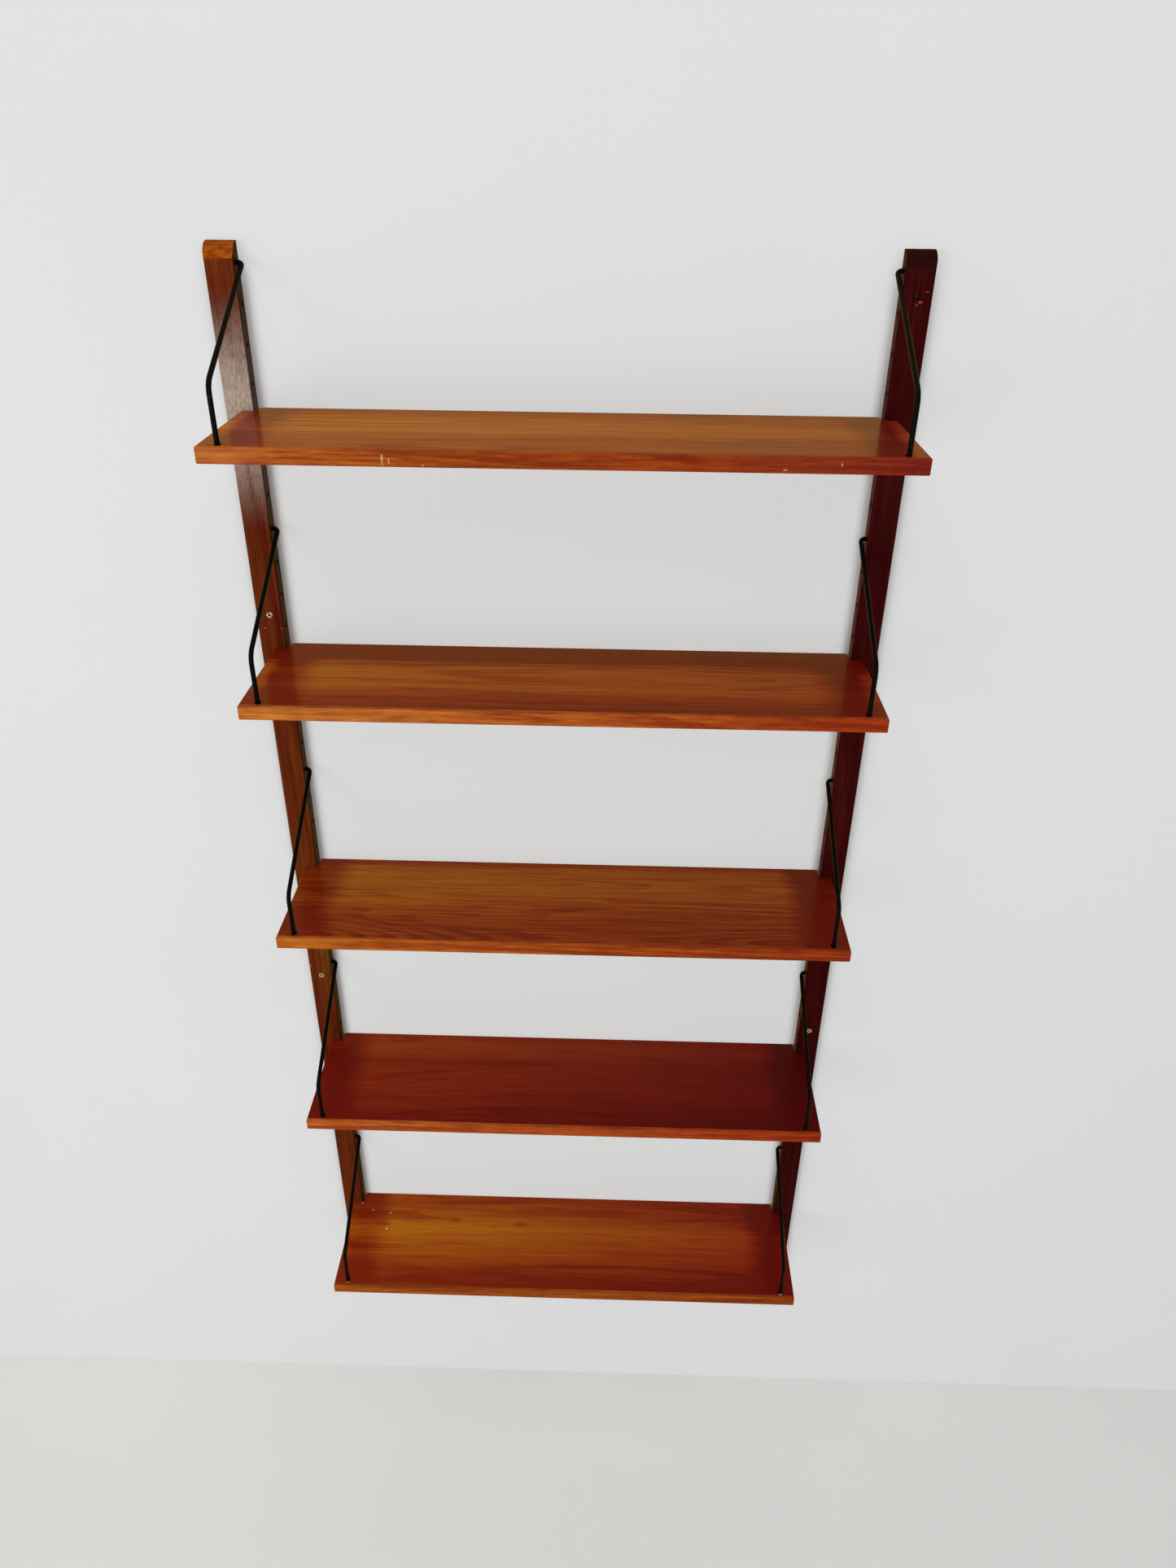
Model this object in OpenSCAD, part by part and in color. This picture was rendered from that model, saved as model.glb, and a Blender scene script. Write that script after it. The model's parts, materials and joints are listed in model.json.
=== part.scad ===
// Wall-hung ladder shelf in teak. Two uprights lie flat on the wall, and their inner side faces
// carry a row of blind holes. Each board rests on two bent wire brackets, which hook into the holes.
// A bracket's front leg passes down through a board and turns back in a groove under it. To free its
// hooks, the bracket swings inwards about that leg.
// X runs across the wall, Y into it (the wall plane is y = 0), Z up. Sizes are in millimetres.
// Boards and brackets are numbered from the top, 1 to 5.

/* [Uprights] */
// Width of an upright, seen from the front
upright_w = 35; // [28:1:50]
// Thickness of an upright, from the wall to its front face
upright_t = 20; // [18:1:30]
// Length of upright past its first and its last side hole
end_margin = 22.5; // [20:0.5:60]
// Radius that rounds the front over at both ends
end_round = 19; // [6:1:30]
// Radius of the eased long edges of the front face
arris_r = 2; // [0.5:0.5:4]

/* [Side holes] */
// Distance between neighbouring side holes
hole_pitch = 45; // [40:1:60]
// Depth of a side hole
hole_depth = 12; // [9:0.5:14]
// Clearance left round the wire in a side hole when the hook tilts most on its way out
hole_gap = 0.12; // [0.08:0.02:0.3]
// Unused holes below the lowest bracket
spare_holes = 3; // [0:1:8]

/* [Shelf positions] */
// Steps of the hole row from board 1 down to board 2
step_1_2 = 7; // [5:1:12]
// Steps of the hole row from board 2 down to board 3
step_2_3 = 8; // [5:1:12]
// Steps of the hole row from board 3 down to board 4
step_3_4 = 8; // [5:1:12]
// Steps of the hole row from board 4 down to board 5
step_4_5 = 9; // [5:1:12]

/* [Boards] */
// Length of a board
board_l = 800; // [600:5:1000]
// Depth of a board with its lipping
board_d = 196; // [160:1:300]
// Thickness of a board
board_t = 19; // [17:0.5:25]
// Depth of the solid lipping along the front edge
lipping_d = 5; // [3:0.5:12]
// Length of board end that covers an upright's front face
end_overlap = 16; // [8:1:26]
// Gap between the tongue and the uprights beside it
tongue_gap = 3; // [1:0.5:3.5]
// Radius of the tongue's rear corners
tongue_r = 5; // [1:0.5:12]
// Gap between the tongue and the wall
wall_gap = 1; // [0.5:0.5:4]
// Gap between the board ends and the uprights behind them
rest_gap = 0.5; // [0.3:0.1:1.5]
// Radius of the eased edges of a board
edge_r = 1.5; // [0.5:0.25:3]

/* [Wire brackets] */
// Diameter of the wire
wire_d = 6; // [5:0.5:7]
// Steps of the hole row between a bracket's two hooks
hook_steps = 4; // [4:1:5]
// Length of hook inside the side hole
hook_in = 6; // [4:0.5:7.5]
// Straight wire between a hook's bend and the upright
hook_lead = 1; // [0.5:0.5:3]
// Radius of the bend at each hook, on the wire's centre line
hook_r = 6; // [5:0.5:9]
// Height of the kink above the board
kink_h = 64; // [50:1:80]
// Radius of the bend at the kink
kink_r = 20; // [8:1:30]
// Radius of the heel, where the front leg turns under the board
heel_r = 24; // [15:1:30]
// Depth of the lower leg inside the board's underside
leg_recess = 0.5; // [0:0.25:2]
// Chamfer on the hooks' tips
tip_chamfer = 0.8; // [0.4:0.1:1.5]

/* [Wire ways through the boards] */
// Clearance round the wire in a board's hole and beside it in the groove
way_gap = 1; // [0.6:0.1:2]
// Wood left between the lipping and a board's hole
way_wall = 1; // [0.5:0.5:8]
// Gap between the wire and the wood that lies on it
seat_gap = 0.3; // [0.2:0.1:1]
// Gap between a hook's tip and the upright once the bracket has swung free
unhook_gap = 1; // [0.5:0.5:3]

/* [Wall screws] */
// Diameter of a screw's thread
screw_d = 4.5; // [3.5:0.5:6]
// Diameter of the plain neck under the head
screw_neck_d = 3.2; // [2.5:0.1:3.4]
// Length of a screw
screw_l = 50; // [40:5:80]
// Length of a screw from its head to where the thread starts
screw_plain_l = 20; // [16:1:25]
// Diameter of a screw's head
screw_head_d = 8.5; // [8:0.5:12]
// Clearance round a screw's thread and head
screw_gap = 0.3; // [0.2:0.1:0.8]
// Depth of a screw's head below the front face
screw_sink = 0.4; // [0:0.1:2]
// Length of a screw's point
screw_point = 7; // [4:1:12]
// Height of the left upright's lower screw above the bottom end
left_low_z = 720; // [300:1:1000]
// Distance of the left upright's upper screw below the top end
left_high_drop = 454; // [300:1:600]
// Height of the right upright's lower screw above the bottom end
right_low_z = 626; // [300:1:1000]
// Distance of the right upright's spare screw hole below the top end
right_high_drop = 48; // [32:1:300]

/* [Hidden] */
$fn = 48;
left = -1;
right = 1;
cut = 1;

// Heights: the top bracket hooks into the top hole, and the others hang below it
steps_below = [0, step_1_2, step_1_2 + step_2_3, step_1_2 + step_2_3 + step_3_4,
               step_1_2 + step_2_3 + step_3_4 + step_4_5];
hole_count = spare_holes + steps_below[4] + hook_steps + 1;
upright_l = (hole_count - 1) * hole_pitch + 2 * end_margin;
function hole_z(i) = end_margin + i * hole_pitch;
function low_hook_z(n) = hole_z(hole_count - 1 - hook_steps - steps_below[n - 1]);
function high_hook_z(n) = low_hook_z(n) + hook_steps * hole_pitch;

wire_r = wire_d / 2;

// Uprights
inner_x = board_l / 2 - end_overlap;
end_r = min(end_round, upright_t - cut);
hole_y = -upright_t / 2;
screw_x = inner_x + upright_w / 2;

// Boards, measured from the lower leg's centre line
board_low = -wire_r - leg_recess;
board_high = board_low + board_t;
front_y = -wall_gap - board_d;
lipping_y = front_y + lipping_d;
ear_y = -upright_t - rest_gap;
tongue_x = inner_x - tongue_gap;

// Wire bracket, in the plane x = wire_x
wire_x = inner_x - hook_lead - hook_r;
way_r = wire_r + way_gap;
leg_y = lipping_y + way_wall + way_r;
kink_z = board_high + kink_h;
heel_y = leg_y + heel_r;
hook_tip_x = inner_x + hook_in;

// Tilt of a hook as its tip leaves the side hole, and how far that moves the hook's rear side
swing_reach = hole_y + wire_r - leg_y;
leave_tilt = asin((hook_in - tip_chamfer) / swing_reach);
hook_sway = (hook_tip_x - tip_chamfer - wire_x) * sin(leave_tilt) - swing_reach * (1 - cos(leave_tilt));
hole_r = wire_r + hook_sway + hole_gap;

// Way for the wire in a board: the swing that frees both hooks widens it towards the wall
swing = asin((hook_in + unhook_gap) / (hole_y - leg_y));
way_flare = (cut - leg_y) * tan(swing);
seat_r = heel_r - wire_r - seat_gap;
seat_z = wire_r + seat_gap;
seat_top = max(heel_r, board_high) + cut;

// Screws
screw_r = screw_d / 2;
screw_neck_r = screw_neck_d / 2;
screw_head_r = screw_head_d / 2;
head_h = screw_head_r - screw_neck_r;
screw_hole_r = screw_r + screw_gap;
sink_r = screw_head_r + screw_gap;
cross_w = screw_d / 5;
cross_l = screw_head_d * 0.6;
cross_deep = head_h * 0.7;

// A rectangle with all four corners rounded
module rounded_rect(x0, x1, y0, y1, r) {
    translate([x0 + r, y0]) square([x1 - x0 - 2 * r, y1 - y0]);
    translate([x0, y0 + r]) square([x1 - x0, y1 - y0 - 2 * r]);
    for (x = [x0 + r, x1 - r], y = [y0 + r, y1 - r])
        translate([x, y]) circle(r);
}

// A rectangle with only its two low-y corners rounded
module eased_rect(x0, x1, y0, y1, r) {
    translate([x0 + r, y0]) square([x1 - x0 - 2 * r, y1 - y0]);
    translate([x0, y0 + r]) square([x1 - x0, y1 - y0 - r]);
    for (x = [x0 + r, x1 - r])
        translate([x, y0 + r]) circle(r);
}

// Stands a drawing in the YZ plane and extrudes it from x0 to x1
module along_x(x0, x1) {
    translate([x0, 0, 0]) rotate([90, 0, 90]) linear_extrude(x1 - x0) children();
}

// Stands a drawing in the XZ plane and extrudes it from y0 to y1
module along_y(y0, y1) {
    translate([0, y1, 0]) rotate([90, 0, 0]) linear_extrude(y1 - y0) children();
}

// ---- Uprights ----

// Side view of an upright: the front rounds over at the top and the bottom
module upright_side() {
    translate([-upright_t + end_r, 0]) square([upright_t - end_r, upright_l]);
    translate([-upright_t, end_r]) square([upright_t, upright_l - 2 * end_r]);
    for (z = [end_r, upright_l - end_r])
        translate([-upright_t + end_r, z]) circle(end_r);
}

// A countersunk hole for a wall screw, on the upright's centre line
module screw_hole(z) {
    translate([screw_x, 0, z]) rotate([90, 0, 0]) {
        translate([0, 0, -cut]) cylinder(r = screw_hole_r, h = upright_t + 2 * cut);
        translate([0, 0, upright_t - screw_sink - sink_r + screw_hole_r])
            cylinder(r1 = screw_hole_r, r2 = sink_r, h = sink_r - screw_hole_r);
        translate([0, 0, upright_t - screw_sink]) cylinder(r = sink_r, h = screw_sink + cut);
    }
}

// The right upright; the left one is its mirror image, with screws at other heights
module upright(screw_heights) {
    difference() {
        intersection() {
            linear_extrude(upright_l) eased_rect(inner_x, inner_x + upright_w, -upright_t, 0, arris_r);
            along_x(inner_x, inner_x + upright_w) upright_side();
        }
        for (i = [0 : hole_count - 1])
            translate([inner_x - cut, hole_y, hole_z(i)]) rotate([0, 90, 0])
                cylinder(r = hole_r, h = hole_depth + cut);
        for (z = screw_heights) screw_hole(z);
    }
}

module left_upright() {
    color("saddlebrown") mirror([1, 0, 0]) upright([left_low_z, upright_l - left_high_drop]);
}

module right_upright() {
    color("saddlebrown") upright([right_low_z, upright_l - right_high_drop]);
}

// A countersunk wood screw with a cross recess, its head at the front face and its axis along Y
module wall_screw(side, z) {
    translate([side * screw_x, -upright_t + screw_sink, z]) rotate([-90, 0, 0]) difference() {
        union() {
            cylinder(r1 = screw_head_r, r2 = screw_neck_r, h = head_h);
            cylinder(r = screw_neck_r, h = screw_plain_l);
            translate([0, 0, screw_plain_l]) cylinder(r = screw_r, h = screw_l - screw_point - screw_plain_l);
            translate([0, 0, screw_l - screw_point]) cylinder(r1 = screw_r, r2 = 0, h = screw_point);
        }
        for (turn = [0, 90])
            rotate(turn) translate([-cross_l / 2, -cross_w / 2, -cut])
                cube([cross_l, cross_w, cross_deep + cut]);
    }
}

module wall_screws() {
    color("silver") {
        wall_screw(left, left_low_z);
        wall_screw(left, upright_l - left_high_drop);
        wall_screw(right, right_low_z);
    }
}

// ---- Boards ----

// Plan of a board behind its lipping: two ears in front of the uprights, and a tongue between them
module board_plan() {
    translate([-board_l / 2, lipping_y]) square([board_l, ear_y - lipping_y]);
    translate([-tongue_x, lipping_y]) square([2 * tongue_x, -wall_gap - tongue_r - lipping_y]);
    translate([-tongue_x + tongue_r, lipping_y])
        square([2 * (tongue_x - tongue_r), -wall_gap - lipping_y]);
    for (side = [left, right])
        translate([side * (tongue_x - tongue_r), -wall_gap - tongue_r]) circle(tongue_r);
}

// Eased outline of a board's end, which both the board and its lipping share
module board_ends(y0, y1) {
    along_y(y0, y1) rounded_rect(-board_l / 2, board_l / 2, board_low, board_high, edge_r);
}

// Plan of one side's way: round about the front leg, flared for the swing, and open beside the upright
module way_plan() {
    translate([wire_x, leg_y]) circle(way_r);
    polygon([
        [wire_x - way_r, leg_y],
        [wire_x + way_r, leg_y],
        [wire_x + way_r, cut],
        [wire_x - way_r - way_flare, cut]
    ]);
    translate([wire_x, ear_y]) square([tongue_x - wire_x + cut, cut - ear_y]);
}

// Side view of the wood that lies on the wire: it follows the heel's curve, then the lower leg
module seat_side() {
    translate([heel_y, heel_r]) circle(seat_r);
    translate([heel_y - seat_r, heel_r]) square([seat_r, seat_top - heel_r]);
    translate([heel_y, seat_z]) square([cut - heel_y, seat_top - seat_z]);
}

// One side's hole for the front leg, which runs into the groove for the lower leg
module wire_way() {
    difference() {
        translate([0, 0, board_low - cut]) linear_extrude(board_t + 2 * cut) way_plan();
        along_x(wire_x - way_r - way_flare - cut, tongue_x + 2 * cut) seat_side();
    }
}

module board(n) {
    color("peru") translate([0, 0, low_hook_z(n)]) difference() {
        intersection() {
            translate([0, 0, board_low]) linear_extrude(board_t) board_plan();
            board_ends(lipping_y, 0);
        }
        wire_way();
        mirror([1, 0, 0]) wire_way();
    }
}

module lipping(n) {
    color("sandybrown") translate([0, 0, low_hook_z(n)]) intersection() {
        along_x(-board_l / 2, board_l / 2) rotate(-90) mirror([1, 0])
            eased_rect(board_low, board_high, front_y, lipping_y, edge_r);
        board_ends(front_y, lipping_y);
    }
}

// ---- Wire brackets ----

function unit(v) = v / norm(v);

// Length that a bend takes off each of its two straight runs
function bend_cut(a, b, c, r) =
    let (turn = acos(unit(b - a) * unit(c - b))) r * tan(turn / 2);

// A straight run of wire from a to b
module straight(a, b) {
    v = b - a;
    translate(a) rotate([0, acos(v[2] / norm(v)), atan2(v[1], v[0])]) cylinder(r = wire_r, h = norm(v));
}

// The bend of radius r at corner b, between the runs from a and to c
module bend(a, b, c, r) {
    u = unit(a - b);
    w = unit(c - b);
    turn = 180 - acos(u * w);
    centre = b + unit(u + w) * r / cos(turn / 2);
    x_dir = unit(b + u * bend_cut(a, b, c, r) - centre);
    z_dir = unit(cross(w, u));
    y_dir = cross(z_dir, x_dir);
    multmatrix([
        [x_dir[0], y_dir[0], z_dir[0], centre[0]],
        [x_dir[1], y_dir[1], z_dir[1], centre[1]],
        [x_dir[2], y_dir[2], z_dir[2], centre[2]],
        [0, 0, 0, 1]
    ]) rotate_extrude(angle = turn) translate([r, 0]) circle(wire_r);
}

// A hook's tip, chamfered, which points along X
module hook_tip(y, z) {
    translate([hook_tip_x - tip_chamfer, y, z]) rotate([0, 90, 0])
        cylinder(r1 = wire_r, r2 = wire_r - tip_chamfer, h = tip_chamfer);
}

// A bracket on the right: corners of the centre line, and the bend radius at each
module bracket(n) {
    rise = high_hook_z(n) - low_hook_z(n);
    corners = [
        [hook_tip_x - tip_chamfer, hole_y, rise],
        [wire_x, hole_y, rise],
        [wire_x, leg_y, kink_z],
        [wire_x, leg_y, 0],
        [wire_x, hole_y, 0],
        [hook_tip_x - tip_chamfer, hole_y, 0]
    ];
    radii = [0, hook_r, kink_r, heel_r, hook_r, 0];
    last = len(corners) - 1;
    cuts = [for (i = [0 : last]) i == 0 || i == last ? 0
        : bend_cut(corners[i - 1], corners[i], corners[i + 1], radii[i])];
    color([0.09, 0.09, 0.1]) translate([0, 0, low_hook_z(n)]) {
        for (i = [0 : last - 1]) {
            run = unit(corners[i + 1] - corners[i]);
            straight(corners[i] + run * cuts[i], corners[i + 1] - run * cuts[i + 1]);
        }
        for (i = [1 : last - 1]) bend(corners[i - 1], corners[i], corners[i + 1], radii[i]);
        hook_tip(hole_y, rise);
        hook_tip(hole_y, 0);
    }
}

module left_bracket(n) {
    mirror([1, 0, 0]) bracket(n);
}

left_upright();
right_upright();
wall_screws();
board(1);  // board_1
board(2);  // board_2
board(3);  // board_3
board(4);  // board_4
board(5);  // board_5
lipping(1);  // lipping_1
lipping(2);  // lipping_2
lipping(3);  // lipping_3
lipping(4);  // lipping_4
lipping(5);  // lipping_5
left_bracket(1);  // bracket_1_left
left_bracket(2);  // bracket_2_left
left_bracket(3);  // bracket_3_left
left_bracket(4);  // bracket_4_left
left_bracket(5);  // bracket_5_left
bracket(1);  // bracket_1_right
bracket(2);  // bracket_2_right
bracket(3);  // bracket_3_right
bracket(4);  // bracket_4_right
bracket(5);  // bracket_5_right
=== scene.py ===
"""Finish, light and camera for the wall-hung ladder shelf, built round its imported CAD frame."""
import json
import math

import bmesh
import bpy
from mathutils import Matrix, Vector


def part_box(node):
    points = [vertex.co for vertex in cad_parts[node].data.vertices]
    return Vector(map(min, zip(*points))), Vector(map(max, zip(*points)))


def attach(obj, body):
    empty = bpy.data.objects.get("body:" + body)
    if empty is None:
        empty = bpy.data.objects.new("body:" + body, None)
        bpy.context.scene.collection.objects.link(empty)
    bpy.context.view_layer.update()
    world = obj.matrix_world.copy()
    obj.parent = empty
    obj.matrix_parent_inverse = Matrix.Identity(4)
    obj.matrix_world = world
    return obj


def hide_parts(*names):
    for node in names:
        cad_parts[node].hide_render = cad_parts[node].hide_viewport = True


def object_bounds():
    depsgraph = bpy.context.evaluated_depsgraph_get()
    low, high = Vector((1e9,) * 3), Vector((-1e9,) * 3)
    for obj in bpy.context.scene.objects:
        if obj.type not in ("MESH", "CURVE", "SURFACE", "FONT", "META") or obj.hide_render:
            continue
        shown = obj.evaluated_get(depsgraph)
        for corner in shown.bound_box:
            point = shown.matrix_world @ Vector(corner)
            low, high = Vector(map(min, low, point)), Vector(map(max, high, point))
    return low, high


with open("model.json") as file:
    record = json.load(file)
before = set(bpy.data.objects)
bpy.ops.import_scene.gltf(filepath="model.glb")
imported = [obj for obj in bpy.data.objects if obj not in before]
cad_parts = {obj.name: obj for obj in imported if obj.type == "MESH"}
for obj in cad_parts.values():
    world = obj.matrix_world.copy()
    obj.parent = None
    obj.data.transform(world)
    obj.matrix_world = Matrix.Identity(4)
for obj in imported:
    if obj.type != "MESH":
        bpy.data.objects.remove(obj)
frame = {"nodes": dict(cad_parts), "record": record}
cad_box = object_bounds()

MM = 0.001
BOARDS = range(1, 6)
SIDES = ("left", "right")


def rgb(red, green, blue):
    """An sRGB colour, 0 to 255, as the linear colour that a shader takes."""
    def linear(value):
        value /= 255
        return value / 12.92 if value <= 0.04045 else ((value + 0.055) / 1.055) ** 2.4
    return (linear(red), linear(green), linear(blue), 1.0)


def new_object(name, data):
    made = bpy.data.objects.new(name, data)
    bpy.context.scene.collection.objects.link(made)
    return made


# ---- Node graphs ----

class Graph:
    """The node graph of a material or of the world, with one short method per kind of node."""

    def __init__(self, owner, output="ShaderNodeOutputMaterial"):
        owner.use_nodes = True
        self.owner = owner
        self.tree = owner.node_tree
        self.tree.nodes.clear()
        self.output = self.tree.nodes.new(output)

    def node(self, kind, inputs=(), **settings):
        """Adds a node. Each of its inputs is a constant or another node's output."""
        made = self.tree.nodes.new(kind)
        for key, value in settings.items():
            setattr(made, key, value)
        for key, value in dict(inputs).items():
            if isinstance(value, bpy.types.NodeSocket):
                self.tree.links.new(value, made.inputs[key])
            else:
                made.inputs[key].default_value = value
        return made

    def math(self, operation, first, second=0.0):
        return self.node("ShaderNodeMath", {0: first, 1: second}, operation=operation).outputs[0]

    def add(self, first, second):
        return self.math("ADD", first, second)

    def minus(self, first, second):
        return self.math("SUBTRACT", first, second)

    def times(self, first, second):
        return self.math("MULTIPLY", first, second)

    def vector(self, x, y, z):
        return self.node("ShaderNodeCombineXYZ", {0: x, 1: y, 2: z}).outputs[0]

    def separate(self, vector):
        """The X, Y and Z of a vector."""
        return self.node("ShaderNodeSeparateXYZ", {0: vector}).outputs

    def scaled(self, vector, scale):
        """A vector times another, axis by axis."""
        return self.node("ShaderNodeVectorMath", {0: vector, 1: scale}, operation="MULTIPLY").outputs[0]

    def moved(self, vector, shift):
        return self.node("ShaderNodeVectorMath", {0: vector, 1: shift}, operation="ADD").outputs[0]

    def unit_noise(self, place, detail=2.0, roughness=0.5):
        """A noise with about one wave per unit of place."""
        return self.node("ShaderNodeTexNoise", {"Vector": place, "Scale": 1.0, "Detail": detail,
                                                "Roughness": roughness}).outputs[0]

    def noise(self, place, waves, detail=2.0, roughness=0.5):
        """A noise with so many waves per metre on each axis, or a single number for all three."""
        scale = waves if isinstance(waves, tuple) else (waves, waves, waves)
        return self.unit_noise(self.scaled(place, scale), detail, roughness)

    def spread(self, value, low, high, to_low=0.0, to_high=1.0, smooth=True):
        """Maps low..high to to_low..to_high, and holds the ends."""
        made = self.node("ShaderNodeMapRange", {"Value": value, "From Min": low, "From Max": high,
                                                "To Min": to_low, "To Max": to_high},
                         interpolation_type="SMOOTHSTEP" if smooth else "LINEAR")
        return made.outputs[0]

    def window(self, value, rise, fall):
        """1 between two soft edges. Each is given as (where it is 0, where it is 1)."""
        return self.times(self.spread(value, *rise), self.spread(value, *fall))

    def between(self, value, low, high):
        """1 between two hard edges."""
        return self.times(self.math("GREATER_THAN", value, low), self.math("LESS_THAN", value, high))

    def spot(self, place, centre, radii):
        """1 at the centre of an ellipsoid and 0 past its surface."""
        offset = self.moved(place, tuple(-value for value in centre))
        shape = self.scaled(offset, tuple(1 / radius for radius in radii))
        length = self.node("ShaderNodeVectorMath", {0: shape}, operation="LENGTH").outputs["Value"]
        return self.spread(length, 0.5, 1.0, 1.0, 0.0)

    def mix(self, factor, first, second):
        return self.node("ShaderNodeMix", {0: factor, 6: first, 7: second}, data_type="RGBA").outputs[2]

    def ramp(self, factor, stops):
        made = self.node("ShaderNodeValToRGB", {0: factor})
        elements = made.color_ramp.elements
        while len(elements) < len(stops):
            elements.new(0.5)
        for element, (place, colour) in zip(elements, stops):
            element.position = place
            element.color = colour
        return made.outputs[0]

    def bump(self, height, strength, distance, normal=None):
        inputs = {"Height": height, "Strength": strength, "Distance": distance}
        if normal is not None:
            inputs["Normal"] = normal
        return self.node("ShaderNodeBump", inputs).outputs[0]

    def emission(self, colour):
        return self.node("ShaderNodeEmission", {"Color": colour, "Strength": 1.0}).outputs[0]

    def mix_shaders(self, factor, first, second):
        return self.node("ShaderNodeMixShader", {0: factor, 1: first, 2: second}).outputs[0]

    def end_in(self, shader):
        """Ends the graph in a shader and returns what it belongs to."""
        self.tree.links.new(shader, self.output.inputs["Surface"])
        return self.owner

    def principled(self, **inputs):
        """Ends the graph in a Principled shader. Keywords are its sockets, with _ for a space."""
        named = {key.replace("_", " "): value for key, value in inputs.items()}
        return self.end_in(self.node("ShaderNodeBsdfPrincipled", named).outputs[0])


def new_graph(name):
    return Graph(bpy.data.materials.new(name))


# ---- Teak ----

# How far the dark and the light tone of a wood lie from its middle tone
MAROON_TO_GOLD = (0.56, 0.22, 0.5, 1.0), (1.36, 2.70, 2.0, 1.0)
EVEN = (0.66, 0.46, 0.5, 1.0), (1.30, 1.60, 1.5, 1.0)

# Waves per metre of each layer of the figure: along the grain, and both ways across it
WAVES = {
    "arches": (0.7, 8.0),     # the slow shape whose contours are the growth lines
    "wander": (2.2, 14.0),    # how the growth lines stray
    "patchy": (2.4, 30.0),    # where the growth lines show at all
    "broad": (1.6, 22.0),
    "ribbon": (2.2, 120.0),
    "streak": (7.0, 280.0),
    "dash": (7.0, 330.0),
    "fibre": (24.0, 800.0),
    "pore": (60.0, 1500.0),
    "blotch": (26.0, 210.0),
    "uneven": (5.0, 30.0),    # a sanded face that isn't quite flat
    "speck": (110.0, 900.0),  # these two in dry, greyed wood
    "patch": (9.0, 60.0),
}
# How much a layer moves the tone
SWAY = {"broad": 0.35, "ribbon": 0.40, "streak": 0.80, "fibre": 0.70}
WANDER = 0.35        # how far the growth lines stray
KNOT_BEND = 0.09     # how far they bend round a knot
KNOT_DEPTH = 0.32    # how much deeper the tone of a knot is
PORE_DEPTH = 0.45    # how much of the dark tone a pore takes
BAND_DRIFT = 0.08    # how far the edges of the bands stray, as a share of their span
TONE_STOPS = (0.25, 0.50, 0.75)
# Painted shade and painted reflection of the dark uprights: beside the uprights a board's tone deepens and may
# come back between these places, in metres from the middle
DEEPENS, COMES_BACK = (0.315, 0.365), (0.376, 0.392)
FRONT_TO_WALL = (-0.20, -0.02)
BOARD_END = 0.42


def shades(red, green, blue, reach=MAROON_TO_GOLD):
    """The dark, middle and light tone of a wood, from its middle sRGB colour."""
    mid = rgb(red, green, blue)
    dark, light = (tuple(value * share for value, share in zip(mid, shares)) for shares in reach)
    return dark, mid, light


class Wood(Graph):
    """The graph of a piece of teak, which knows where each point lies in the log. The grain follows X,
    or Z in an upright. The bands of tone follow one another across a board, and up an upright."""

    def __init__(self, name, upright, shift):
        super().__init__(bpy.data.materials.new(name))
        coordinates = self.node("ShaderNodeTexCoord").outputs
        self.place, self.facing = coordinates["Object"], coordinates["Normal"]
        self.x, self.y, self.z = self.separate(self.place)
        if upright:
            along, across, deep = self.z, self.x, self.y
            self.banded, self.drift = self.z, (4.0, 4.0, 4.0)
        else:
            along, across, deep = self.x, self.y, self.z
            self.banded, self.drift = self.y, (3.0, 9.0, 9.0)
        self.log = self.vector(self.add(along, shift), self.add(across, shift * 0.37), deep)

    def layer(self, name, detail=2.0, roughness=0.5):
        along, across = WAVES[name]
        return self.noise(self.log, (along, across, across), detail, roughness)

    def sway(self, value, amount):
        """Swings a noise's 0 to 1 to both sides of nothing."""
        return self.times(self.add(value, -0.5), amount)

    def growth_lines(self, rings, eyes):
        """The dark late wood of each year: contours of a long, slow noise, which gives flat-sawn arches.
        eyes, if any, is 1 in the knots that the lines bend round."""
        along, across = WAVES["arches"]
        slow = self.moved(self.scaled(self.log, (along, across, across)),
                          self.scaled(self.vector(0.0, self.layer("wander"), 0.0), (0.0, WANDER, 0.0)))
        contour = self.unit_noise(slow, detail=1.0, roughness=0.4)
        if eyes is not None:
            contour = self.add(contour, self.times(eyes, KNOT_BEND))
        line = self.math("FRACT", self.times(contour, rings))
        late = self.window(line, (0.25, 0.80), (1.0, 0.90))
        return self.times(late, self.spread(self.layer("patchy"), 0.38, 0.62))

    def bands(self, levels, span):
        """The tone over a span, from (place, level) pairs. Places run from 0 to 1, and 0.5 is the middle tone."""
        low, high = span
        drift = self.sway(self.noise(self.log, self.drift), BAND_DRIFT * (high - low))
        share = self.spread(self.add(self.banded, drift), low, high, smooth=False)
        return self.ramp(share, [(at, (level, level, level, 1.0)) for at, level in levels])

    def painted_upright_shade(self, tone, left, right, back):
        """Painted shade and painted reflection of the uprights: the tone, deeper beside the left and the right
        upright, and more so towards the wall. back is how far it comes back at the very end of the board."""
        rear = self.spread(self.y, *FRONT_TO_WALL, 0.75, 1.35)
        for toward, amount in ((-1, left), (1, right)):
            out = self.times(self.x, toward)
            shade = self.times(self.spread(out, *DEEPENS), self.spread(out, *COMES_BACK, 1.0, 1.0 - back))
            tone = self.minus(tone, self.times(self.times(shade, rear), amount))
        return tone

    def coloured(self, tone, tones):
        return self.ramp(tone, list(zip(TONE_STOPS, tones)))


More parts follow.
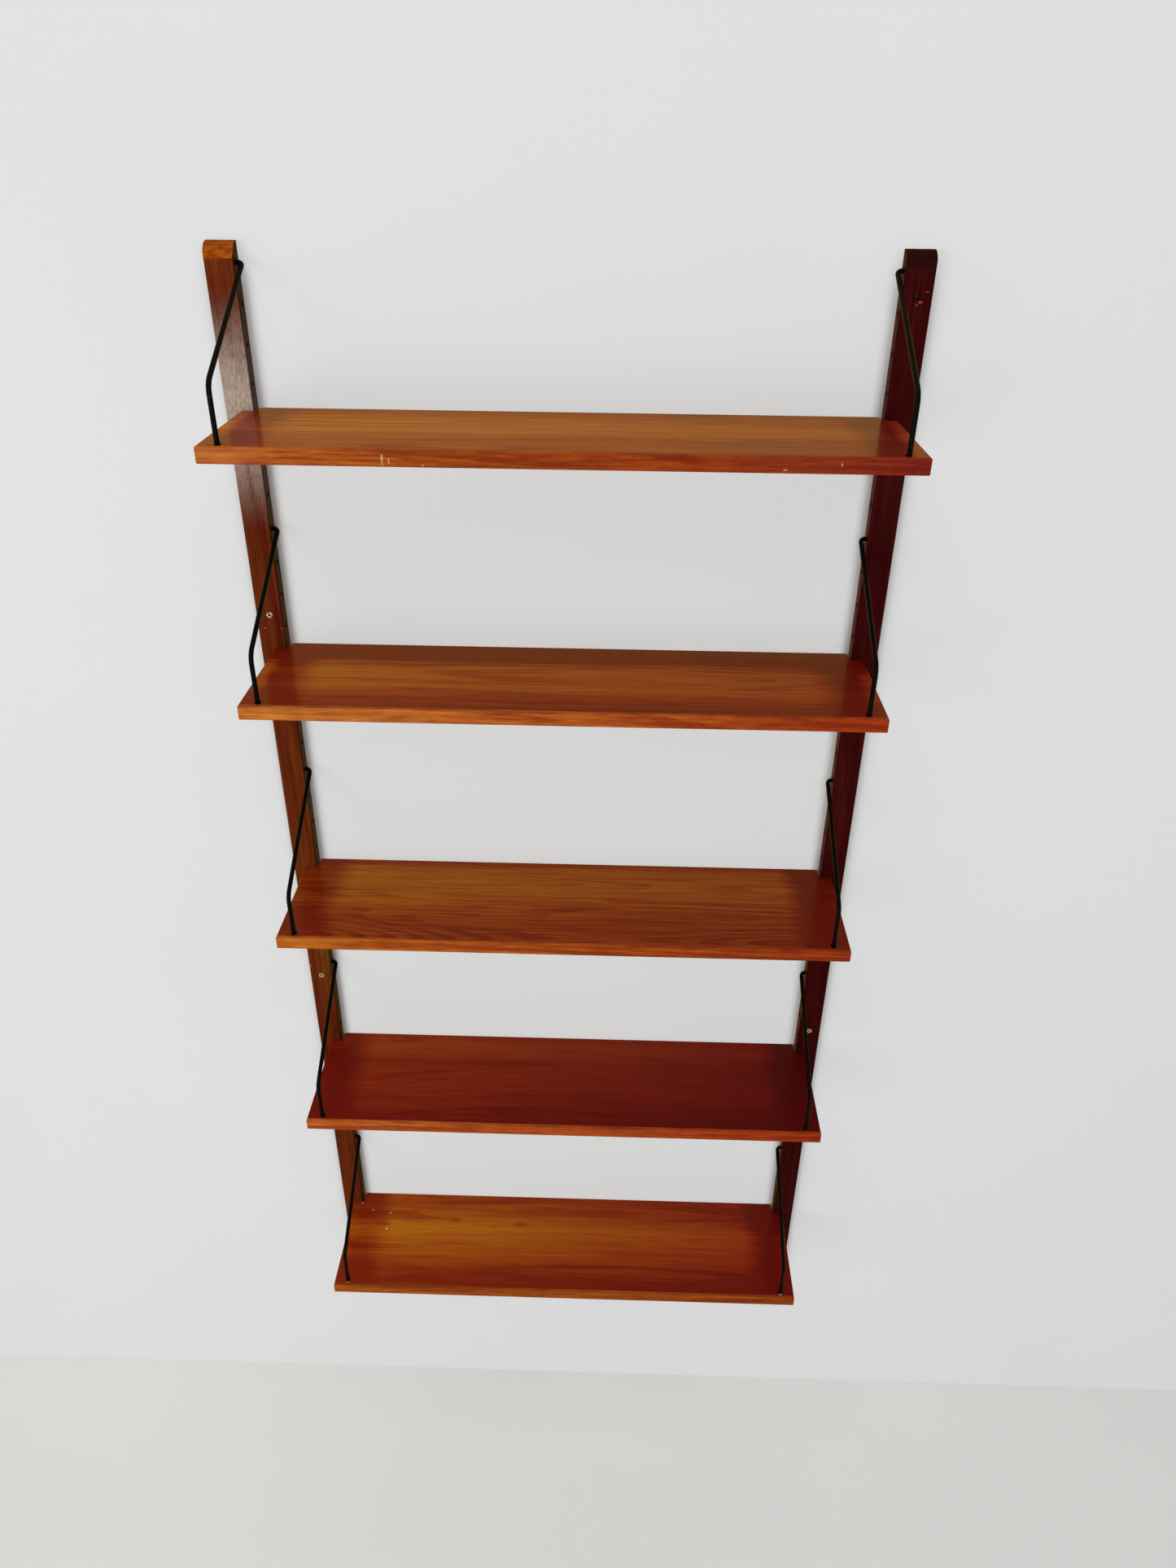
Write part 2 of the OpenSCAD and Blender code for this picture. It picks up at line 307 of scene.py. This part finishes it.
def teak(name, left, right=None, upright=False, shift=0.0, rings=30.0, lines=0.30, contrast=1.0, fleck=0.0,
         knots=(), bands=(), span=None, ends=None, gloss=0.0, shine=0.05, marks=()):
    """Oiled teak. left and right are the tones at the two ends of a board, the right one darker partly as painted
    shade. shift picks another piece of the log, rings is the number of growth lines, and lines is how dark they
    are. contrast scales the whole figure, and fleck adds short blotches. knots are (centre, radii). bands over a
    span, and ends, are as
    Wood.bands and Wood's method for the painted shade and reflection beside the uprights take them. marks go over
    the wood, one after another, each as its function and that function's values."""
    wood = Wood(name, upright, shift)
    eyes = 0.0
    for centre, radii in knots:
        eyes = wood.add(eyes, wood.spot(wood.place, centre, radii))
    late = wood.growth_lines(rings, eyes if knots else None)
    broad = wood.layer("broad")
    ribbon = wood.layer("ribbon", roughness=0.6)
    streak = wood.layer("streak", roughness=0.6)
    fibre = wood.layer("fibre", detail=3.0, roughness=0.65)
    dash = wood.spread(wood.layer("dash", detail=1.0), 0.40, 0.31)
    pore = wood.spread(wood.layer("pore", detail=1.0), 0.61, 0.70)

    tone = wood.add(wood.add(wood.sway(broad, SWAY["broad"]), wood.sway(ribbon, SWAY["ribbon"])),
                    wood.add(wood.sway(streak, SWAY["streak"]), wood.sway(fibre, SWAY["fibre"])))
    if knots:
        tone = wood.minus(tone, wood.times(eyes, KNOT_DEPTH))
    if fleck:
        tone = wood.add(tone, wood.sway(wood.layer("blotch", detail=3.0, roughness=0.6), fleck))
    tone = wood.minus(tone, wood.add(wood.times(late, lines), wood.times(dash, lines)))
    tone = wood.times(tone, contrast)
    tone = wood.add(tone, wood.bands(bands, span) if bands else 0.5)
    if ends is not None:
        # Painted shade and painted reflection of the uprights, deepest in the rear corners
        tone = wood.painted_upright_shade(tone, *ends)

    colour = wood.coloured(tone, left)
    # The tone runs from the left end to the right end. The right one is darker, partly as painted shade where
    # less light falls
    if right is not None:
        share = wood.spread(wood.x, -BOARD_END, BOARD_END, smooth=False)
        colour = wood.mix(share, colour, wood.coloured(tone, right))
    colour = wood.mix(wood.times(pore, PORE_DEPTH), colour, left[0])
    rough = wood.spread(broad, 0.3, 0.7, 0.46, 0.60, smooth=False)
    for mark, *values in marks:
        colour, rough = mark(wood, colour, rough, *values)

    relief = wood.minus(wood.minus(wood.times(fibre, 0.5), pore), wood.times(late, 0.35))
    normal = wood.bump(relief, 0.30, 0.10 * MM)
    normal = wood.bump(wood.layer("uneven", detail=1.0), 0.25, 0.5 * MM, normal)
    return wood.principled(Base_Color=colour, Roughness=rough, Normal=normal, Specular_IOR_Level=shine,
                           Coat_Weight=gloss, Coat_Roughness=0.13, Coat_IOR=1.5)


# ---- Marks on the teak: each takes and returns the colour and the roughness ----

def end_grain_and_top_light(wood, colour, rough, dark, light):
    """The tones of the faces that look up, which are the upper ends of the uprights: end grain, and on the left
    upright partly painted light from above.
    """
    upward = wood.spread(wood.separate(wood.facing)[2], 0.06, 0.12)
    fleck = wood.noise(wood.place, (90.0, 420.0, 90.0))
    return wood.mix(upward, colour, wood.mix(wood.spread(fleck, 0.3, 0.7), dark, light)), rough


def painted_window_sheen(wood, colour, rough, low, high, fade, pale, deep):
    """Dry, greyed wood with a painted sheen, the reflection of a bright window, between two heights, where it
    fades in and out.
    """
    height = wood.window(wood.z, (low - fade, low + fade), (high + fade, high - fade))
    speck = wood.layer("speck", detail=4.0, roughness=0.7)
    patch = wood.layer("patch", detail=3.0)
    mask = wood.times(height, wood.spread(wood.add(wood.times(speck, 0.6), patch), 0.55, 0.85, 0.45, 1.0))
    grey = wood.mix(wood.spread(speck, 0.30, 0.66), deep, pale)
    return wood.mix(mask, colour, grey), wood.add(rough, wood.times(mask, 0.2))


def shaded_right_face(wood, colour, rough, tone):
    """Painted shade: the dark tone of the face towards +X, which the light from the left does not reach."""
    turned = wood.spread(wood.separate(wood.facing)[0], 0.5, 0.9)
    return wood.mix(wood.times(turned, 0.9), colour, tone), rough


def shaded_side_holes(wood, colour, rough, tone, mouth, bottom, depth, radius, low, high):
    """Painted shade: dark walls in the row of side holes. mouth and bottom are at x, on both sides, and depth is
    at y.
    """
    out = wood.math("ABSOLUTE", wood.x)
    off = wood.math("ABSOLUTE", wood.add(wood.y, -depth))
    within = wood.times(wood.between(out, mouth, bottom), wood.between(wood.z, low, high))
    return wood.mix(wood.times(within, wood.math("LESS_THAN", off, radius)), colour, tone), rough


def bare_edge_and_highlight(wood, colour, rough, depth, bare, amount):
    """The edge along the wall, behind a depth, with bare wood where it is chipped; on the right upright it is
    partly a painted highlight of the lit inner face.
    """
    chips = wood.spread(wood.noise(wood.place, (300.0, 300.0, 14.0), detail=3.0), 0.34, 0.6)
    rim = wood.times(wood.spread(wood.y, depth - 0.8 * MM, depth + 0.8 * MM), chips)
    return wood.mix(wood.times(rim, amount), colour, bare), rough


def worn(wood, colour, rough, centre, radii, bare):
    """A chip, a scratch, or a speck of paint."""
    grit = wood.noise(wood.place, 500.0)
    mask = wood.times(wood.spot(wood.place, centre, radii), wood.spread(grit, 0.30, 0.50))
    return wood.mix(mask, colour, bare), wood.add(rough, wood.times(mask, 0.25))


# ---- Metal ----

def black_lacquer(name, shift):
    """Satin black lacquer on steel wire: a little uneven, and nicked here and there."""
    graph = new_graph(name)
    place = graph.moved(graph.node("ShaderNodeTexCoord").outputs["Object"], (shift, 0.0, 0.0))
    peel = graph.noise(place, 420.0)
    patch = graph.noise(place, 35.0, detail=3.0)
    nick = graph.spread(graph.noise(place, (260.0, 260.0, 60.0), detail=3.0, roughness=0.7), 0.70, 0.74)
    colour = graph.mix(patch, rgb(7, 7, 8), rgb(13, 13, 14))
    colour = graph.mix(graph.times(nick, 0.5), colour, rgb(66, 62, 58))
    rough = graph.add(graph.spread(patch, 0.3, 0.7, 0.30, 0.42), graph.times(nick, 0.2))
    normal = graph.bump(peel, 0.25, 0.08 * MM)
    return graph.principled(Base_Color=colour, Roughness=rough, Normal=normal, Specular_IOR_Level=0.03)


def zinc(heads):
    """Bright zinc plate with a fine grain, a trace of tarnish and painted shade in the cross recesses. heads are
    (centre, how much the head has browned)."""
    graph = new_graph("zinc_screw")
    place = graph.node("ShaderNodeTexCoord").outputs["Object"]
    tarnish = graph.noise(place, 300.0, detail=4.0, roughness=0.65)
    fine = graph.noise(place, 2500.0)
    colour = graph.ramp(tarnish, [(0.30, rgb(150, 143, 130)), (0.55, rgb(214, 210, 202)),
                                  (0.80, rgb(236, 234, 228))])
    rough = graph.spread(tarnish, 0.3, 0.7, 0.42, 0.24)
    for centre, browned in heads:
        brown = graph.times(graph.spot(place, centre, (7 * MM, 7 * MM, 7 * MM)),
                            graph.spread(tarnish, 0.40, 0.55))
        colour = graph.mix(graph.times(brown, browned), colour, rgb(74, 40, 26))
        # Painted shade in the cross recess
        recess_shade = graph.spot(place, centre, (2.2 * MM, 9 * MM, 2.2 * MM))
        colour = graph.mix(graph.times(recess_shade, 0.9), colour, rgb(20, 16, 14))
    normal = graph.bump(fine, 0.2, 0.05 * MM)
    return graph.principled(Base_Color=colour, Metallic=1.0, Roughness=rough, Normal=normal)


# ---- Screws ----

# Radii of the head, the plain neck, the core of the thread and its crest
HEAD, NECK, CORE, CREST = 4.25 * MM, 1.6 * MM, 1.45 * MM, 2.25 * MM
# Where the thread starts, the length of the point, and the pitch
PLAIN, POINT, PITCH = 20 * MM, 7 * MM, 2 * MM
SCREW_SIDES, THREAD_STEPS = 48, 24
# Half the length and half the width of the recess's arms at its mouth and at its floor, and its depth
MOUTH, FLOOR, RECESS = (2.5 * MM, 0.5 * MM), (1.1 * MM, 0.35 * MM), 1.9 * MM
FINEST = 0.05 * MM    # the least radius of the thread
# How much each screw's head has browned
BROWNED = {"left_low_screw": 0.1, "left_high_screw": 0.9, "right_low_screw": 0.1}


def on_circle(bm, radius, angle, z):
    return bm.verts.new((radius * math.cos(angle), radius * math.sin(angle), z))


def bridge(bm, one, two):
    """Joins two loops of points with faces. A loop of a single point is a tip."""
    count = max(len(one), len(two))
    for k in range(count):
        after = (k + 1) % count
        corners = (one[k % len(one)], two[k % len(two)], two[after % len(two)], one[after % len(one)])
        bm.faces.new(list(dict.fromkeys(corners)))


def cross_loop(bm, reach, half, z):
    """The twelve corners of a cross, counter-clockwise."""
    arm = [(reach, -half), (reach, half), (half, half)]
    points = []
    for turn in range(4):
        c, s = math.cos(turn * math.pi / 2), math.sin(turn * math.pi / 2)
        points += [(x * c - y * s, x * s + y * c) for x, y in arm]
    return [bm.verts.new((x, y, z)) for x, y in points]


def thread(bm, start, end):
    """Adds a helical ridge with a triangular section, which runs out over the point."""
    half = PITCH * 0.22
    rings = []
    for k in range(int((end - start) / PITCH * THREAD_STEPS) + 1):
        z = start + k * PITCH / THREAD_STEPS
        left_over = (end - z) / POINT
        fade = min(1.0, (z - start) / PITCH + 0.02, max(0.02, left_over))
        root = max(CORE * min(1.0, max(0.1, left_over)) - 0.1 * MM, FINEST)
        crest = max((CORE + (CREST - CORE) * fade) * min(1.0, max(0.12, left_over * 1.1)), FINEST)
        angle = math.tau * k / THREAD_STEPS
        rings.append([on_circle(bm, radius, angle, height)
                      for radius, height in ((root, z - half), (crest, z), (root, z + half))])
    for one, two in zip(rings, rings[1:]):
        bridge(bm, one, two)
    bm.faces.new(rings[0])
    bm.faces.new(list(reversed(rings[-1])))


def screw_mesh(length):
    """A countersunk wood screw that runs up Z from the top of its head."""
    head_end = HEAD - NECK
    profile = [(HEAD, 0.15 * MM), (HEAD - 0.1 * MM, 0.35 * MM), (NECK + 0.2 * MM, head_end),
               (NECK, head_end + 0.4 * MM), (NECK, PLAIN - 1 * MM), (CORE, PLAIN),
               (CORE, length - POINT), (CORE * 0.6, length - POINT * 0.4), (0, length)]
    bm = bmesh.new()
    rings = [[on_circle(bm, radius, math.tau * k / SCREW_SIDES, z) for k in range(SCREW_SIDES if radius else 1)]
             for radius, z in profile]
    for one, two in zip(rings, rings[1:]):
        bridge(bm, one, two)
    rim = [bm.verts.new((v.co.x * 0.97, v.co.y * 0.97, 0)) for v in rings[0]]
    bridge(bm, rim, rings[0])
    mouth, floor = cross_loop(bm, *MOUTH, 0), cross_loop(bm, *FLOOR, RECESS)
    edges = [bm.edges.get(pair) or bm.edges.new(pair)
             for loop in (rim, mouth) for pair in zip(loop, loop[1:] + loop[:1])]
    bmesh.ops.triangle_fill(bm, edges=edges, use_beauty=True)
    bridge(bm, mouth, floor)
    bm.faces.new(floor)
    thread(bm, PLAIN, length - 0.5 * MM)
    bmesh.ops.recalc_face_normals(bm, faces=bm.faces)
    mesh = bpy.data.meshes.new("wall_screw")
    bm.to_mesh(mesh)
    bm.free()
    return mesh


def wall_screws():
    """The CAD screws with a real cross recess and a real thread, at the record's screw mounts."""
    low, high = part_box("wall_screws")
    screw = screw_mesh(high.y - low.y)
    whole = bmesh.new()
    heads = []
    pins = [mount for mount in frame["record"]["mounts"] if mount["kind"] == "pin"]
    for number, pin in enumerate(pins):
        head = (pin["pos_m"][0], low.y, pin["pos_m"][2])
        heads.append((head, BROWNED[pin["name"]]))
        copy = screw.copy()
        copy.transform(Matrix.Translation(head) @ Matrix.Rotation(-math.pi / 2, 4, "X")
                       @ Matrix.Rotation(0.5 + 0.9 * number, 4, "Z"))
        whole.from_mesh(copy)
    result = bpy.data.meshes.new("threaded_wall_screws")
    whole.to_mesh(result)
    whole.free()
    result.materials.append(zinc(heads))
    piece = new_object("threaded_wall_screws", result)
    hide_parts("wall_screws")
    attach(piece, "frame")


# ---- Finishes of the CAD nodes ----

# tones are the middle tones at a board's left-hand and right-hand end, the right-hand one darker and redder,
# partly the wood's own tone and partly painted shade where less light falls towards the right. bands are the tone
# across it from the lipping to the wall, and ends how much deeper the tone is beside the uprights, a painted
# shade and painted reflection of them, as Wood's method for that painted shade takes it
BOARD_LOOKS = {
    1: {"tones": ((156, 66, 18), (132, 33, 12)), "rings": 34.0, "contrast": 0.65, "gloss": 0.24,
        "ends": (0.28, 0.36, 1.0),
        "bands": ((0.0, 0.46), (0.38, 0.54), (0.42, 0.72), (0.64, 0.68), (0.84, 0.52), (1.0, 0.40))},
    # Board 2's dark strip along the wall is partly the veneer's figure and partly painted shade, for the dimmer
    # reflection near the wall
    2: {"tones": ((162, 69, 10), (138, 37, 8)), "rings": 26.0, "contrast": 0.60, "gloss": 0.18,
        "ends": (0.36, 0.40, 0.7),
        "bands": ((0.0, 0.29), (0.16, 0.38), (0.30, 0.62), (0.52, 0.70), (0.66, 0.68), (0.74, 0.38),
                  (0.79, 0.24), (1.0, 0.28))},
    3: {"tones": ((158, 70, 8), (138, 46, 8)), "rings": 44.0, "contrast": 0.60, "gloss": 0.16,
        "ends": (0.26, 0.44, 0.2),
        "bands": ((0.0, 0.40), (0.22, 0.44), (0.42, 0.54), (0.56, 0.66), (0.74, 0.70), (0.90, 0.62),
                  (1.0, 0.48))},
    4: {"tones": ((151, 47, 8), (101, 1, 6)), "rings": 20.0, "contrast": 0.32, "gloss": 0.03,
        "ends": (0.22, 0.34, 0.2),
        "bands": ((0.0, 0.28), (0.24, 0.38), (0.40, 0.48), (0.66, 0.50), (0.74, 0.60), (0.86, 0.70),
                  (1.0, 0.60))},
    5: {"tones": ((174, 79, 6), (137, 26, 6)), "rings": 18.0, "contrast": 0.42, "gloss": 0.10,
        "ends": (0.20, 0.36, 0.2),
        "bands": ((0.0, 0.24), (0.18, 0.34), (0.38, 0.57), (0.60, 0.72), (0.76, 0.54), (1.0, 0.46))},
}
# The right-hand lipping tones are darker, partly the wood's tone and partly painted shade where less light falls
# towards the right
LIPPING_TONES = {
    1: ((172, 89, 22), (128, 23, 4)),
    2: ((184, 106, 40), (157, 50, 6)),
    3: ((181, 96, 26), (150, 51, 8)),
    4: ((181, 91, 30), (155, 47, 8)),
    5: ((161, 80, 18), (150, 60, 8)),
}
# Places and half sizes from here on are in millimetres. Knots in the tops of the boards: (x, y), (half sizes)
KNOTS = {
    4: [((-90, -166), (34, 12))],
    5: [((-338, -66), (18, 9)), ((-290, -50), (12, 6)), ((-205, -57), (15, 7)), ((-84, -62), (17, 8)),
        ((278, -24), (13, 8)), ((314, -40), (15, 6))],
}
# Chips and scratches in the lippings: (x, z), (half sizes)
CHIPS = {1: [((-195, 1602), (1.8, 8.0)), ((-151, 1597), (1.2, 1.6)), ((-188, 1601), (1.0, 4.0)),
             ((243, 1598), (3.4, 0.9)), ((304, 1605), (1.0, 3.0))]}
# Specks of wall paint on the boards: (x, y), radius
SPECKS = {5: [((-329, -79), 1.8), ((-328, -45), 1.5), ((-361, -39), 1.3), ((-384, -24), 1.5)]}
BARE = rgb(214, 160, 100)
PAINT = rgb(226, 224, 216)

# tone is an upright's middle tone, the right one deeper partly as painted shade, bands the tone up it, the
# end-grain entry the two tones of its upper end, the left one lighter partly as painted light from above, the
# bare-edge entry the tone and the amount of bare wood along the wall, on the right upright partly a painted
# highlight, and worn the marks (x, z), (half sizes)
UPRIGHT_LOOKS = {
    "left": {"tone": (106, 46, 12), "shift": 9.3, "end_grain_and_top_light": (rgb(128, 50, 8), rgb(168, 86, 18)),
             "bare_edge_and_highlight": (rgb(120, 74, 44), 0.5), "worn_tone": rgb(176, 116, 72),
             "worn": [((-410, 1327), (2.5, 1.0)), ((-387, 1327), (2.0, 0.8)), ((-417, 740), (1.5, 4.0)),
                      ((-403, 1600), (6.0, 0.9))],
             "bands": ((0.0, 0.36), (0.17, 0.42), (0.30, 0.40), (0.40, 0.52), (0.48, 0.62), (0.58, 0.52),
                       (0.70, 0.40), (0.82, 0.38), (0.95, 0.38), (1.0, 0.50))},
    # The right upright's deeper, redder tone is partly painted shade: it stands in for the right upright getting
    # less light than the left one
    "right": {"tone": (67, 14, 12), "shift": 11.7, "end_grain_and_top_light": (rgb(30, 7, 6), rgb(46, 12, 9)),
              "bare_edge_and_highlight": (rgb(168, 116, 76), 0.8), "worn_tone": rgb(150, 74, 34),
              "worn": [((406, 1746), (3.2, 2.0)), ((412, 1757), (3.0, 0.8)), ((402, 1743), (1.6, 1.4))],
              "bands": ((0.0, 0.38), (0.13, 0.38), (0.22, 0.30), (0.30, 0.24), (0.38, 0.40), (0.44, 0.44),
                        (0.52, 0.40), (0.58, 0.50), (0.68, 0.42), (0.79, 0.36), (0.86, 0.52), (0.92, 0.32),
                        (1.0, 0.36))},
}
# The left upright's greyed zone with its painted window sheen: its lower and upper height, how far it fades, its
# pale and its deep grey
SHEEN_ZONE = (1.53, 1.69, 0.07, rgb(196, 180, 166), rgb(137, 114, 98))
# Painted shade on the left upright's inner face
LEFT_INNER_SHADE = rgb(22, 12, 7)
# Painted shade in the side holes
HOLE_SHADE = rgb(16, 8, 6)
EDGE_DEPTH = -2.2 * MM    # where the bare edge along the wall starts, partly a painted highlight


def dress(node, material):
    mesh = frame["nodes"][node].data
    mesh.materials.clear()
    mesh.materials.append(material)


def finish_boards():
    front = cad_box[0].y
    for n in BOARDS:
        low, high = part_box(f"board_{n}")
        look = dict(BOARD_LOOKS[n])
        left, right = (shades(*tone) for tone in look.pop("tones"))
        knots = [((x * MM, y * MM, high.z), (a * MM, b * MM, 30 * MM)) for (x, y), (a, b) in KNOTS.get(n, ())]
        specks = [(worn, (x * MM, y * MM, high.z), (r * MM, 1.6 * r * MM, 3 * MM), PAINT)
                  for (x, y), r in SPECKS.get(n, ())]
        dress(f"board_{n}", teak(f"teak_veneer_{n}", left, right, shift=0.83 * n, span=(low.y, high.y),
                                 knots=knots, marks=specks, **look))
        left, right = (shades(*tone, reach=EVEN) for tone in LIPPING_TONES[n])
        chips = [(worn, (x * MM, front, z * MM), (a * MM, 6 * MM, c * MM), BARE)
                 for (x, z), (a, c) in CHIPS.get(n, ())]
        dress(f"lipping_{n}", teak(f"teak_lipping_{n}", left, right, shift=5.1 + 0.47 * n, rings=16.0,
                                   contrast=0.75, fleck=1.2, gloss=0.08, marks=chips))


def finish_uprights():
    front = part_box("left_upright")[0].y
    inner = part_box("right_upright")[0].x
    bottom, top = cad_box[0].z, cad_box[1].z
    holes = (HOLE_SHADE, inner + 0.2 * MM, inner + 12.5 * MM, front / 2, 3.6 * MM, bottom + 10 * MM, top - 10 * MM)
    for side in SIDES:
        look = UPRIGHT_LOOKS[side]
        marks = [(end_grain_and_top_light, *look["end_grain_and_top_light"])]
        if side == "left":
            # The left upright gets a painted window sheen on greyed wood, and painted shade on its inner face
            marks += [(painted_window_sheen, *SHEEN_ZONE), (shaded_right_face, LEFT_INNER_SHADE)]
        marks += [(shaded_side_holes, *holes), (bare_edge_and_highlight, EDGE_DEPTH, *look["bare_edge_and_highlight"])]
        marks += [(worn, (x * MM, front, z * MM), (a * MM, 3 * MM, c * MM), look["worn_tone"])
                  for (x, z), (a, c) in look["worn"]]
        dress(f"{side}_upright", teak(f"teak_{side}_upright", shades(*look["tone"]), upright=True,
                                      shift=look["shift"], rings=12.0, lines=0.15, contrast=0.6,
                                      bands=look["bands"], span=(bottom, top), shine=0.02, marks=marks))


def finish_brackets():
    for side, shift in zip(SIDES, (0.0, 3.7)):
        lacquer = black_lacquer(f"black_wire_{side}", shift)
        for n in BOARDS:
            dress(f"bracket_{n}_{side}", lacquer)


# ---- Stage, light and camera ----

WALL_GAP = 0.6 * MM                    # between the uprights' backs and the wall
FLOOR_DROP = 0.3795                    # from the uprights' lower ends down to the floor
STAGE_REACH, STAGE_TOP = 6.0, 5.0
PAINTED_GOLD_REFLECTION = (0.87, 0.61, 0.17, 1.0)    # a painted golden reflection: what glossy surfaces see of the wall and the floor
SHADOW_FADE = 16 * MM, 60 * MM         # sideways, and at its lower and upper end
WORLD_SEEN = rgb(226, 227, 228)
WORLD_LIGHT = (0.22, 0.22, 0.225, 1.0)
MIDDLE = (0.0, 0.0, 1.03)
# Name, place, target, size in metres, power in watts
LAMPS = (
    ("key_window", (-1.9, -2.6, 1.18), MIDDLE, (1.6, 1.6), 40.0),
    ("front_fill", (1.6, -3.2, 1.43), MIDDLE, (2.4, 2.0), 22.0),
    ("ceiling", (0.0, -1.6, 3.53), (0.0, -0.3, 1.03), (3.0, 2.4), 34.0),
    ("rear", (0.0, 3.0, 0.33), MIDDLE, (2.4, 1.8), 60.0),
)
LENS = 25.66
CAMERA_PLACE = (0.0585, -1.4182, 1.9191)
CAMERA_TURN = (59.4325, -0.5431, 1.5049)    # degrees


def near_uprights(graph, place, low, high):
    """1 behind both uprights, which mirror each other, fading out beside them. low and high are the
    corners of the box of the right one."""
    x, _, z = graph.separate(place)
    sideways, upwards = SHADOW_FADE
    beside = graph.window(graph.math("ABSOLUTE", x), (low.x - sideways, low.x), (high.x + sideways, high.x))
    return graph.times(beside, graph.window(z, (low.z, low.z + upwards), (high.z, high.z - upwards)))


def one_sided(name, colour, pale, bump, glow, upright=None):
    """A matt surface that is clear from behind, and casts no shadow. pale is what the camera sees of it
    as plain background, and glow is the share of that. Near the uprights, if the box of the right one is
    given, the share is nothing, so that the shadow stays whole."""
    graph = new_graph(name)
    place = graph.node("ShaderNodeTexCoord").outputs["Object"]
    roller = graph.noise(place, 120.0, detail=4.0, roughness=0.6)
    cloud = graph.noise(place, 1.7)
    tint = graph.mix(graph.spread(cloud, 0.35, 0.65), colour, tuple(0.97 * c for c in colour[:3]) + (1.0,))
    normal = graph.bump(roller, bump, 0.5 * MM)
    paint = graph.node("ShaderNodeBsdfDiffuse", {"Color": tint, "Normal": normal}).outputs[0]
    clear = graph.node("ShaderNodeBsdfTransparent").outputs[0]
    behind = graph.node("ShaderNodeNewGeometry").outputs["Backfacing"]
    path = graph.node("ShaderNodeLightPath").outputs
    # The camera sees part of the pale colour itself, so the shadows on it stay soft
    share = graph.times(path["Is Camera Ray"], glow)
    if upright is not None:
        share = graph.minus(share, graph.times(share, near_uprights(graph, place, *upright)))
    soft = graph.mix_shaders(share, paint, graph.emission(pale))
    # Glossy rays see a warm glow here, a painted golden reflection in the wood's gloss
    front = graph.mix_shaders(path["Is Glossy Ray"], soft, graph.emission(PAINTED_GOLD_REFLECTION))
    either = graph.math("MAXIMUM", behind, path["Is Shadow Ray"])
    return graph.end_in(graph.mix_shaders(either, front, clear))


def stage_plane(name, corners, material):
    mesh = bpy.data.meshes.new(name)
    mesh.from_pydata(corners, [], [(0, 1, 2, 3)])
    mesh.materials.append(material)
    new_object(name, mesh)


def make_stage():
    wall_y = max(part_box(f"{side}_upright")[1].y for side in SIDES) + WALL_GAP
    floor_z = cad_box[0].z - FLOOR_DROP
    wall = one_sided("stage_wall", rgb(226, 229, 229), rgb(226, 227, 226), 0.25, 0.6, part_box("right_upright"))
    floor = one_sided("stage_floor", rgb(232, 231, 228), rgb(219, 219, 217), 0.1, 0.4)
    left, right, near, far = -STAGE_REACH, STAGE_REACH, -STAGE_REACH, STAGE_REACH
    stage_plane("stage_wall", [(left, wall_y, floor_z), (right, wall_y, floor_z),
                               (right, wall_y, STAGE_TOP), (left, wall_y, STAGE_TOP)], wall)
    stage_plane("stage_floor", [(left, near, floor_z), (right, near, floor_z),
                                (right, far, floor_z), (left, far, floor_z)], floor)


def make_light():
    """Soft lamps and a dim world, which the camera sees as a pale background."""
    for name, place, target, size, power in LAMPS:
        data = bpy.data.lights.new(name, "AREA")
        data.shape = "RECTANGLE"
        data.size, data.size_y = size
        data.energy = power
        made = new_object(name, data)
        made.location = place
        made.rotation_euler = (Vector(target) - Vector(place)).to_track_quat("-Z", "Y").to_euler()
    world = bpy.data.worlds.new("world")
    bpy.context.scene.world = world
    graph = Graph(world, "ShaderNodeOutputWorld")
    light, seen = (graph.node("ShaderNodeBackground", {0: colour}).outputs[0]
                   for colour in (WORLD_LIGHT, WORLD_SEEN))
    graph.end_in(graph.mix_shaders(graph.node("ShaderNodeLightPath").outputs["Is Camera Ray"], light, seen))


def make_camera():
    """Above the top board and a little right of the middle, looking down."""
    data = bpy.data.cameras.new("camera")
    data.lens = LENS
    camera = new_object("camera", data)
    camera.location = CAMERA_PLACE
    camera.rotation_euler = [math.radians(angle) for angle in CAMERA_TURN]
    bpy.context.scene.camera = camera
    bpy.context.scene.view_settings.view_transform = "Standard"


make_camera()
make_stage()
make_light()
finish_boards()
finish_uprights()
finish_brackets()
wall_screws()
